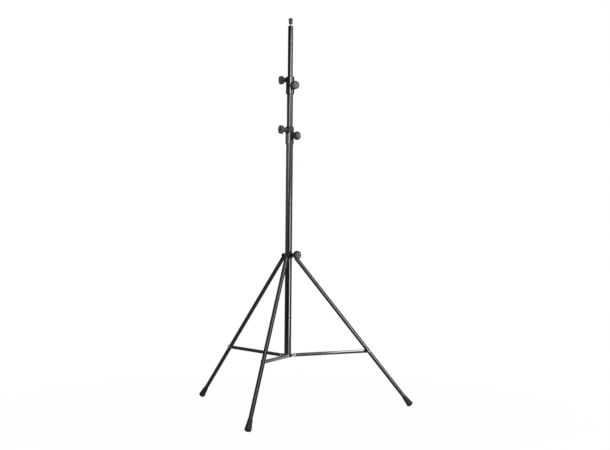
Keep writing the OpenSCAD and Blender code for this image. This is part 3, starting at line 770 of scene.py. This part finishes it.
STUD_R, STUD_PITCH = 4.75, 1.59
stud_low, stud_top = (corner.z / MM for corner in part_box("threaded_stud"))
stud = threaded_rod("stud_thread", STUD_R, STUD_PITCH, stud_low, stud_top)
set_in_place(stud, Matrix(), zinc_plate, "top_stage", "zinc", "threaded_stud")
print("stud thread:", len(stud.data.polygons), "faces")

# %% [markdown]
# ## The cap on the stud
#
# A moulded cap guards the thread. Like the boots of the legs further on, it
# is turned as one closed skin: from the roof of its bore down to the lip, and
# up the outside over a soft shoulder to the crown. Ten shallow flutes give
# the fingers a hold. It is widest above its middle and a little fuller below
# than the plain solid.

# %% Screw cap
cap_low, cap_high = (corner.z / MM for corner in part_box("stud_cap"))
CAP_R, CAP_SIDES, BORE_R, ROOF_GAP, SHOULDER = 11.5, 80, 5.05, 0.3, 3.6
CAP_FLUTES, CAP_FLUTE_DEPTH, CAP_RIM_R, PLAIN_CROWN = 10, 1.0, 10.5, 2.0
roof = stud_top + ROOF_GAP - cap_low
cap_h = cap_high - cap_low
shoulder = quarter_round(cap_h - SHOULDER, CAP_R - SHOULDER, SHOULDER)
cap = turned("stud_cap_shell", [
    (roof, BORE_R), (0.6, BORE_R), (0.0, 5.7), (0.0, 8.9), (0.3, 9.6), (1.0, 9.9), (7.0, 10.4),
    (9.0, 10.6), (14.0, 11.1), (19.0, 11.4), (22.0, CAP_R)] + shoulder + [(cap_h, 4.0)], CAP_SIDES)
press_flutes(cap, CAP_SIDES, CAP_FLUTES, CAP_FLUTE_DEPTH, CAP_R,
             lambda co: co.xy.length > CAP_RIM_R * MM and co.z < (cap_h - PLAIN_CROWN) * MM)
set_in_place(cap, Matrix.Translation((0, 0, cap_low * MM)), cap_nylon, "stud_cap",
             "black_plastic", "stud_cap")
print("cap:", len(cap.data.polygons), "faces,", round(cap_h, 1), "mm tall")

# %% [markdown]
# ## The plug in the top tube
#
# A cast plug closes the tube and holds the stud. Its shoulder is full and
# rounded, so that the tube seems to end almost square. It is turned like the
# cap, from the floor of the stud's hole up over the shoulder and down to the
# end of the spigot inside the tube.

# %% End plug
plug_low, plug_high = (corner.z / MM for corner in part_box("top_plug"))
PLUG_R, SPIGOT_R, HOLE_R, HOLE_DEEP, PLUG_H, PLUG_ROUND = 14.0, 11.9, 4.8, 18.0, 7.0, 2.6
tube_end = plug_high - PLUG_H
rim = quarter_round(plug_high - PLUG_ROUND, PLUG_R - PLUG_ROUND, PLUG_ROUND)
plug = turned("end_plug", [
    (plug_high - HOLE_DEEP, HOLE_R), (plug_high - 0.6, HOLE_R), (plug_high, 5.4)] + rim[::-1] + [
    (tube_end, PLUG_R), (tube_end, SPIGOT_R), (plug_low + 1.0, SPIGOT_R),
    (plug_low, SPIGOT_R - 1.0), (plug_low, 3.0)])
set_in_place(plug, Matrix(), cast_enamel, "top_stage", "black_casting", "top_plug")
print("end plug:", len(plug.data.polygons), "faces")

# %% [markdown]
# ## Leg bolts and nuts
#
# A hexagon head is a six-sided prism whose corners were turned off on a
# lathe. The Boolean modifier does just that: it keeps what the prism has in
# common with a turned, chamfered blank.

# %% Hexagon with chamfered corners, and a washer
FACE_SHARE, CHAMFER_SLOPE, BLANK_SPARE, OVERLAP = 0.96, 1.7, 0.05, 0.01


def hexagon(name, across_flats, bottom, top, chamfer_bottom=0.0, chamfer_top=1.1):
    """A hexagonal head or nut along +Z, corners chamfered at its ends, in mm."""
    corner = across_flats / math.sqrt(3)
    prism = turned(name, [(bottom, corner), (top, corner)], 6)
    face_r = across_flats / 2 * FACE_SHARE
    wide = corner + BLANK_SPARE
    blank = turned("blank", [(bottom - OVERLAP, corner - chamfer_bottom * CHAMFER_SLOPE),
                             (bottom + chamfer_bottom + OVERLAP, wide),
                             (top - chamfer_top, wide), (top + OVERLAP, face_r)], 48)
    cut = prism.modifiers.new("chamfer", "BOOLEAN")
    cut.operation = "INTERSECT"
    cut.solver = "EXACT"
    cut.object = blank
    only(prism)
    bpy.ops.object.modifier_apply(modifier="chamfer")
    bpy.data.objects.remove(blank)
    return prism


def washer(name, bottom, top, radius):
    """A plain washer along +Z with stamped, rounded edges, in mm."""
    return turned(name, [(bottom, radius - 0.25), (bottom + 0.2, radius), (top - 0.2, radius),
                         (top, radius - 0.25)], 48)


print("hexagon and washer helpers ready")

# %% [markdown]
# Each bolt lies across its fork with a plain washer under the head and another
# under the nut. The bolt's axis is +Z while it is modelled, with zero at the
# fork's outer face, and a crown on the nut holds the locking ring.

# %% Leg bolts and nuts
FORK_OUT, PIVOT_R = 13.0, 31.0
FORK_W = 2 * FORK_OUT
BOLT_AF, BOLT_R, BOLT_PITCH, HEAD_H, THREAD_PAST = 13.0, 4.0, 1.25, 5.3, 9.0
WASHER_R, WASHER_T, NUT_TOP = 7.9, 1.1, 5.2
pivot_z = sum(corner.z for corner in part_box("leg_pivot_bolts")) / 2 / MM
bolt = merged(
    hexagon("leg_bolt", BOLT_AF, -HEAD_H, -WASHER_T, chamfer_bottom=1.1, chamfer_top=0.02),
    washer("under_head", -WASHER_T, 0.0, WASHER_R),
    threaded_rod("shank", BOLT_R, BOLT_PITCH, -1.0, FORK_W + THREAD_PAST))
nut = merged(
    hexagon("leg_nut", BOLT_AF, FORK_W + WASHER_T, FORK_W + NUT_TOP, chamfer_bottom=0.5),
    washer("under_nut", FORK_W, FORK_W + WASHER_T, WASHER_R),
    turned("nut_crown", [(FORK_W + z, r) for z, r in (
        (4.8, 5.9), (6.0, 5.9), (6.5, 5.5), (6.5, 4.6), (6.1, 4.3))], 48))
for leg, bearing in enumerate(LEG_BEARINGS, 1):
    across = (around(bearing) @ Matrix.Translation(Vector((PIVOT_R, -FORK_OUT, pivot_z)) * MM)
              @ Matrix.Rotation(-math.pi / 2, 4, "X"))
    set_in_place(copied(bolt, f"leg_bolt_{leg}"), across, black_oxide, "leg_collar",
                 "black_oxide", "leg_pivot_bolts")
    set_in_place(copied(nut, f"leg_nut_{leg}"), across, black_oxide, "leg_collar",
                 "black_oxide", "leg_pivot_nuts")
bpy.data.objects.remove(bolt)
bpy.data.objects.remove(nut)
print("leg bolts and nuts:", len(LEG_BEARINGS))

# %% [markdown]
# ## Rubber feet
#
# Each leg stands in a moulded rubber boot. It starts at the bottom of its
# bore, comes up the bore to a rounded lip with two grip grooves, flares out
# to the sole and rolls over at the bottom. The sole is cut flat where it
# meets the floor: once the boot is on its leg, Bisect slices it along the
# floor and fills the cut.

# %% Model the feet and stand them on the floor
LEG_ANGLE, LEG_LEN, FOOT_LEN, SOLE_R, SOLE_ROUND = 39.4, 1090.0, 62.0, 18.0, 8.0


def on_leg(bearing):
    """A place on a leg: +Z runs down the leg from its pivot."""
    pivot = Vector((PIVOT_R, 0, pivot_z)) * MM
    return (around(bearing) @ Matrix.Translation(pivot)
            @ Matrix.Rotation(math.radians(180 - LEG_ANGLE), 4, "Y"))


sole = quarter_round(FOOT_LEN - SOLE_ROUND, SOLE_R - SOLE_ROUND, SOLE_ROUND)
foot = turned("foot", [
    (48.0, 11.05), (1.2, 11.05), (0.3, 11.6), (0.0, 12.3), (0.3, 12.8), (1.3, 13.15),
    (3.8, 13.2), (4.2, 12.6), (5.4, 12.6), (5.8, 13.3), (8.0, 13.4), (8.4, 12.8), (9.6, 12.8),
    (10.0, 13.5), (13.0, 13.8), (22.0, 14.5), (32.0, 15.6), (42.0, 16.7), (49.0, 17.6)] + sole)
for leg, bearing in enumerate(LEG_BEARINGS, 1):
    boot = copied(foot, f"foot_boot_{leg}")
    place = on_leg(bearing) @ Matrix.Translation((0, 0, (LEG_LEN - FOOT_LEN) * MM))
    set_in_place(boot, place, foot_rubber, f"leg_{leg}", "rubber", f"leg_foot_{leg}")
    bpy.ops.object.mode_set(mode="EDIT")
    bpy.ops.mesh.select_all(action="SELECT")
    bpy.ops.mesh.bisect(plane_co=(0, 0, 0), plane_no=(0, 0, 1), use_fill=True, clear_inner=True)
    bpy.ops.object.mode_set(mode="OBJECT")
bpy.data.objects.remove(foot)
print("feet:", len(LEG_BEARINGS))

# %% [markdown]
# ## Rivets in the leg tops
#
# A blind rivet pins each plastic knuckle in its leg tube. It is a low dome with
# a hole where the mandrel broke off, set into the curve of the tube.

# %% Knuckle rivets
rivet = turned("knuckle_rivet", [
    (-0.9, 3.3), (0.2, 3.4), (0.55, 3.1), (0.95, 2.4), (1.15, 1.6), (1.2, 1.2), (0.9, 1.0),
    (0.2, 0.9)], 32)
LEG_R, RIVET_DOWN = 11.0, 36.0
for leg, bearing in enumerate(LEG_BEARINGS, 1):
    place = (on_leg(bearing) @ Matrix.Translation(Vector((-LEG_R, 0, RIVET_DOWN)) * MM)
             @ Matrix.Rotation(-math.pi / 2, 4, "Y"))
    set_in_place(copied(rivet, f"knuckle_rivet_{leg}"), place, zinc_plate, f"leg_{leg}", "zinc")
bpy.data.objects.remove(rivet)
print("knuckle rivets:", len(LEG_BEARINGS))

# %% [markdown]
# ## Struts
#
# A strut is a flat steel bar, blanked with round ends and tumbled, so that no
# edge is sharp. A circle pulled apart in the middle gives its outline, one
# extrusion its thickness, and a small bevel the soft edges that show as a
# thin line of light.

# %% Struts with rounded edges
STRUT_PIVOT_R, STRUT_PIVOT_Z, STRUT_W, STRUT_T, STRUT_IN = 42.0, 302.0, 19.0, 3.0, 11.3
STRUT_JOINT, STRUT_EDGE = 690.0, 0.6
strut_end = on_leg(0) @ Vector((0, 0, STRUT_JOINT * MM)) / MM
strut_run = Vector((strut_end.x - STRUT_PIVOT_R, strut_end.z - STRUT_PIVOT_Z))
strut_rise = math.atan2(strut_run.y, strut_run.x)
bpy.ops.object.select_all(action="DESELECT")
bpy.ops.mesh.primitive_circle_add(vertices=48, radius=STRUT_W / 2 * MM, fill_type="NGON")
bar = bpy.context.object
bar.name = "strut_bar"
pick(bar, lambda co: co.x > 0.01 * MM)
bpy.ops.transform.translate(value=(strut_run.length * MM, 0, 0))
bpy.ops.mesh.select_all(action="SELECT")
bpy.ops.mesh.extrude_region_move(TRANSFORM_OT_translate={"value": (0, 0, STRUT_T * MM)})
outward()
pick(bar, lambda co: abs(co.z - STRUT_T / 2 * MM) > 0.4 * STRUT_T * MM, "EDGE")
bpy.ops.mesh.bevel(offset=STRUT_EDGE * MM, segments=3)
outward()
for leg, bearing in enumerate(LEG_BEARINGS, 1):
    pivot = Vector((STRUT_PIVOT_R, 0, STRUT_PIVOT_Z)) * MM
    place = (around(bearing) @ Matrix.Translation(pivot) @ Matrix.Rotation(-strut_rise, 4, "Y")
             @ Matrix.Translation((0, STRUT_IN * MM, 0)) @ Matrix.Rotation(-math.pi / 2, 4, "X"))
    set_in_place(copied(bar, f"strut_bar_{leg}"), place, leg_enamel, f"strut_{leg}",
                 "black_paint", f"strut_{leg}")
bpy.data.objects.remove(bar)
print("struts:", len(LEG_BEARINGS), "of", round(strut_run.length, 1), "mm")
